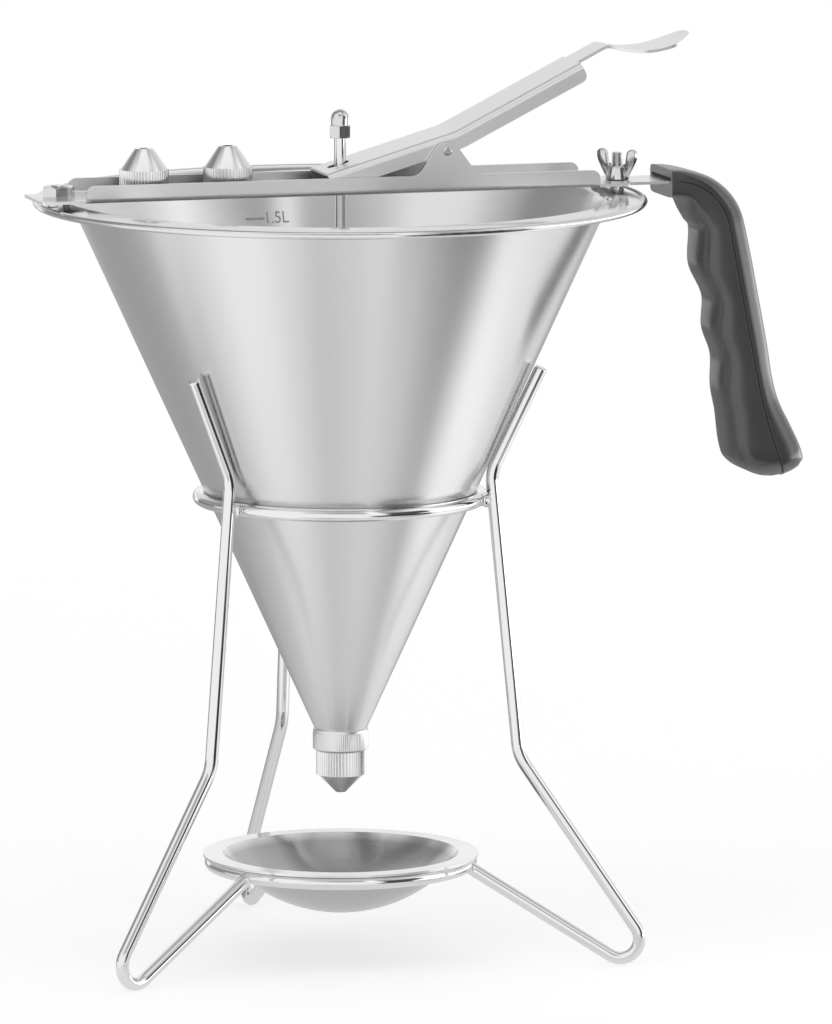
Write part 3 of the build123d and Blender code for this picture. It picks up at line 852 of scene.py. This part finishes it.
def depth_at(depths, distance):
    """Depth of a shell at a distance along the seam, smooth through its sections."""
    last = len(depths) - 1

    def slope(number):
        low = max(number - 1, 0)
        high = min(number + 1, last)
        return (depths[high] - depths[low]) / (section_places[high] - section_places[low])

    number = max(place for place in range(last) if section_places[place] <= distance)
    span = section_places[number + 1] - section_places[number]
    share = min((distance - section_places[number]) / span, 1)
    rise = share * share * (3 - 2 * share)
    lead = share * (1 - share) ** 2 * span * slope(number)
    lag = share * share * (1 - share) * span * slope(number + 1)
    return depths[number] + rise * (depths[number + 1] - depths[number]) + lead - lag


def in_heel(place, wide):
    """Point of the handle kept inside the round heel and its rounded edges."""
    offset = place - heel_centre
    if offset.y < 0:
        reach = min(offset.length, heel_radius)
        place = heel_centre + reach * offset.normalized()
        rim = max(reach - heel_radius + heel_round, 0)
        share = min(-offset.y / heel_blend, 1)
        narrower = heel_round - math.sqrt(heel_round ** 2 - rim ** 2)
        wide *= 1 - share * narrower / half_width
    return mm * Vector((place.x, wide, place.y))


def make_shell(name, node, side, depths, flat, power, heel_power):
    """Shell on one side of the seam: side is 1 for the grip and -1 for the spine."""
    bends = [math.pi * (number / shell_bends - 0.5) for number in range(shell_bends + 1)]

    def outline(distance):
        square = max(1 - distance / front_length, 0) ** 2
        blunt = min(max((distance - heel_start) / (heel_full - heel_start), 0), 1)
        bow = 2 / (power + square * (front_power - power) + blunt * (heel_power - power))
        deep = [flat + (1 - flat) * math.cos(bend) ** bow for bend in bends]
        wide = [math.copysign(abs(math.sin(bend)) ** bow, bend) for bend in bends]
        return [(0, -1)] + list(zip(deep, wide)) + [(0, 1)]

    def build(shape):
        rings = []
        for station in range(shell_stations + 1):
            distance = seam_length * station / shell_stations
            place, way = seam_at(distance)
            inward = side * turned(way, math.pi / 2) * depth_at(depths, distance)
            rings.append([
                shape.verts.new(in_heel(place + deep * inward, wide * half_width))
                for deep, wide in outline(distance)
            ])
        last = rings[-1]
        for narrower in closing_widths:
            rings.append([
                shape.verts.new(Vector((point.co.x, narrower * point.co.y, point.co.z))) for point in last
            ])
        for ring, following in zip(rings, rings[1:]):
            skin(shape, ring, following)
        shape.faces.new(rings[0])

    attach(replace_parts(add_piece(name, "handle_plastic", build), node), "funnel")


make_shell("moulded_grip", "handle_grip", 1, grip_depths, grip_flat, grip_power, grip_heel_power)
make_shell("moulded_spine", "handle_spine", -1, spine_depths, spine_flat, spine_power, spine_heel_power)

# Seam of the handle: how far its line and its edges lie from the seam's middle and from the shells' sides
line_first = 3
line_offset = 0.25
line_lift = 0.03
edge_offset = 0.4
edge_sink = 0.05
edge_radius = 0.16
edge_sides = 8
# Painted shadow over the tang: a dark sheet just off the handle's front face, its corners as pairs of width
# and rise above the bar's top
tang_shadow_lift = 0.04
tang_shadow_sheet = (
    (-11.2, 0.3), (-10.6, 0.0), (10.6, 0.0), (11.2, 0.3),
    (11.2, 0.8), (10.4, 1.2), (-10.4, 1.2), (-11.2, 0.8),
)


def make_seam():
    """Dark line between rounded edges along the seam, and a painted shadow over the tang at the front: a dark
    sheet where the gap is in shade.
    """
    steps = range(line_first, int(seam_length))

    def shifted(side, offset, out):
        points = []
        for step in steps:
            place, way = seam_at(step)
            point = in_heel(place + offset * turned(way, math.pi / 2), side * half_width)
            points.append(point + Vector((0, side * mm * out, 0)))
        return points

    def build_line(shape):
        for side in (1, -1):
            low, high = [
                [shape.verts.new(point) for point in shifted(side, offset, line_lift)]
                for offset in (-line_offset, line_offset)
            ]
            for place in range(len(steps) - 1):
                shape.faces.new((low[place], low[place + 1], high[place + 1], high[place]))
        # Painted shadow: a dark sheet over the tang where the gap under the handle's front is in shade
        shape.faces.new([
            shape.verts.new(mm * Vector((seam_start - tang_shadow_lift, wide, bar_top + rise)))
            for wide, rise in tang_shadow_sheet
        ])

    def build_edges(shape):
        for side in (1, -1):
            for offset in (-edge_offset, edge_offset):
                tube(shape, shifted(side, offset, -edge_sink), edge_radius, edge_sides)

    line_piece = add_object("seam_line", mesh_from("seam_line", build_line))
    # The seam's dark ink also colours the painted shadow over the tang
    line_piece.data.materials.append(ink("seam_line_and_tang_shadow", level=0.008))
    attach(line_piece, "funnel")
    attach(add_piece("seam_edges", "handle_plastic", build_edges), "funnel")


make_seam()

# Studio: a pale floor, a white background and a light tent that the camera doesn't see
white = (1, 1, 1, 1)
floor_radius = 1.6
floor_colour = (0.8, 0.8, 0.8, 1)
floor_glow = 0.46
floor_fade = (0.25 * floor_radius, 0.8 * floor_radius)
tent_radius = 2.6
camera_azimuth = math.atan2(camera_place[1], camera_place[0])
near_level = 0.74
brightest = 3.2
back_azimuth = 150
back_dimming = 0.14

# Bands of light and dark round the object: each pair is an azimuth from the camera and a level
floor_bands = (
    (-180, 0.36), (-160, 0.38), (-140, 0.40), (-118, 0.42), (-100, 0.43), (-86, 0.52), (-72, 0.84),
    (-56, 1.12), (-40, 1.10), (-26, 0.86), (-10, 0.58), (5, 0.70), (20, 0.86), (36, 0.80), (50, 0.58),
    (60, 0.42), (68, 0.46), (76, 0.95), (88, 1.25), (108, 1.18), (126, 1.0), (146, 0.75), (164, 0.40),
    (180, 0.34),
)
outer_bands = (
    (-180, 0.36), (-160, 0.38), (-144, 0.40), (-118, 0.40), (-100, 0.5), (-88, 1.0), (20, 1.0), (28, 0.04),
    (72, 0.04), (78, 0.95), (110, 0.9), (148, 0.8), (163, 0.32), (180, 0.34),
)
far_bands = (
    (-180, 0.5), (-162, 0.5), (-150, 1.2), (-142, 0.2), (-118, 0.2), (-110, 1.0), (26, 1.0),
    (37, 0.08), (60, 0.08), (68, 1.6), (80, 3.0), (140, 3.0), (152, 0.6), (180, 0.5),
)
sky_bands = (
    (-180, 1.0), (-150, 0.9), (-142, 0.35), (-108, 0.3), (-86, 0.65), (-68, 1.0), (33, 0.95),
    (41, 0.08), (70, 0.08), (76, 1.1), (86, 1.4), (100, 1.1), (112, 0.75), (140, 0.8), (152, 0.9), (180, 1.0),
)
middle_bands = [
    (azimuth, level - back_dimming if abs(azimuth) >= back_azimuth else level) for azimuth, level in sky_bands
]
upper_bands = (
    (-180, 0.85), (-150, 0.82), (-128, 0.25), (-108, 0.25), (-86, 0.65), (-68, 1.0), (-42, 1.0), (-22, 0.6),
    (-4, 0.40), (22, 0.42), (26, 1.2), (33, 1.2), (37, 0.42), (46, 0.40), (60, 0.62), (74, 1.05), (92, 1.05),
    (104, 0.6), (140, 0.7), (180, 0.85),
)
top_bands = (
    (-180, 0.35), (-80, 0.3), (-50, 1.0), (50, 1.0), (80, 0.3), (180, 0.35),
)

# Where each table takes over: metres from the middle of the floor, and shares of the tent's height
floor_levels = (
    (0.06, 0.30, floor_bands),
    (0.31, 0.39, outer_bands),
    (1.05, 1.25, far_bands),
)
tent_levels = (
    (0.06, 0.12, sky_bands),
    (0.17, 0.24, middle_bands),
    (0.50, 0.62, upper_bands),
    (0.80, 0.92, top_bands),
)


def turn_share(graph, place):
    """Share of a full turn from the camera's side, with the camera itself at a half."""
    parts = graph.add("SeparateXYZ", {0: place})
    azimuth = graph.math("ARCTAN2", parts.outputs["Y"], parts.outputs["X"])
    from_camera = graph.math("SUBTRACT", azimuth, camera_azimuth)
    return graph.math("FRACT", graph.math("ADD", graph.math("DIVIDE", from_camera, 2 * math.pi), 0.5))


def bands(graph, share, table):
    """Light level round the object, from pairs of azimuth and level."""
    return graph.ramp(share, [(azimuth / 360 + 0.5, level / brightest) for azimuth, level in table])


def blend_levels(graph, place, share, start, steps):
    """Light levels of tables that change into each other between pairs of places."""
    level = start
    for low, high, table in steps:
        # Inputs 0, 6 and 7 of a colour mix are its factor and its two colours
        inputs = {0: graph.stretch(place, (low, high)), 6: level, 7: bands(graph, share, table)}
        level = graph.add("Mix", inputs, data_type="RGBA").outputs[2]
    return level


def make_world():
    """Plain white background."""
    world = bpy.data.worlds.new("world")
    world.use_nodes = True
    graph = Graph(world.node_tree)
    shader = graph.add("Background", {"Color": white, "Strength": 1.0})
    graph.add("OutputWorld", {"Surface": shader.outputs[0]})
    scene.world = world


def make_floor():
    """Pale floor with a soft shadow that fades into the white background; metal sees its bands of light."""
    mesh = mesh_from("floor", lambda shape: bmesh.ops.create_circle(
        shape, cap_ends=True, radius=floor_radius, segments=96))
    floor = add_object("floor", mesh)
    material, graph = new_material("floor")
    place = graph.place()
    reach = graph.length(place)
    matt = graph.add("BsdfDiffuse", {"Color": floor_colour})
    glow = graph.add("Emission", {"Color": white, "Strength": floor_glow})
    both = graph.add("AddShader", {0: matt.outputs[0], 1: glow.outputs[0]})
    bright = graph.add("Emission", {"Color": white, "Strength": 1.0})
    fade = graph.stretch(reach, floor_fade)
    seen = graph.add("MixShader", {0: fade, 1: both.outputs[0], 2: bright.outputs[0]})
    near = near_level / brightest
    level = blend_levels(graph, reach, turn_share(graph, place), (near, near, near, 1), floor_levels)
    mirrored = graph.add("Emission", {"Color": level, "Strength": brightest})
    glossy = graph.add("LightPath").outputs["Is Glossy Ray"]
    shader = graph.add("MixShader", {0: glossy, 1: seen.outputs[0], 2: mirrored.outputs[0]})
    graph.add("OutputMaterial", {"Surface": shader.outputs[0]})
    floor.data.materials.append(material)


def make_tent():
    """Light tent with bands of light and dark round the object."""
    mesh = mesh_from("tent", lambda shape: bmesh.ops.create_uvsphere(
        shape, u_segments=64, v_segments=32, radius=tent_radius))
    tent = add_object("tent", mesh)
    tent.visible_camera = False
    tent.visible_shadow = False
    material, graph = new_material("tent")
    place = graph.place()
    share = turn_share(graph, place)
    height = graph.math("DIVIDE", graph.add("SeparateXYZ", {0: place}).outputs["Z"], tent_radius)
    level = blend_levels(graph, height, share, bands(graph, share, far_bands), tent_levels)
    shader = graph.add("Emission", {"Color": level, "Strength": brightest})
    graph.add("OutputMaterial", {"Surface": shader.outputs[0]})
    tent.data.materials.append(material)


make_world()
make_floor()
make_tent()
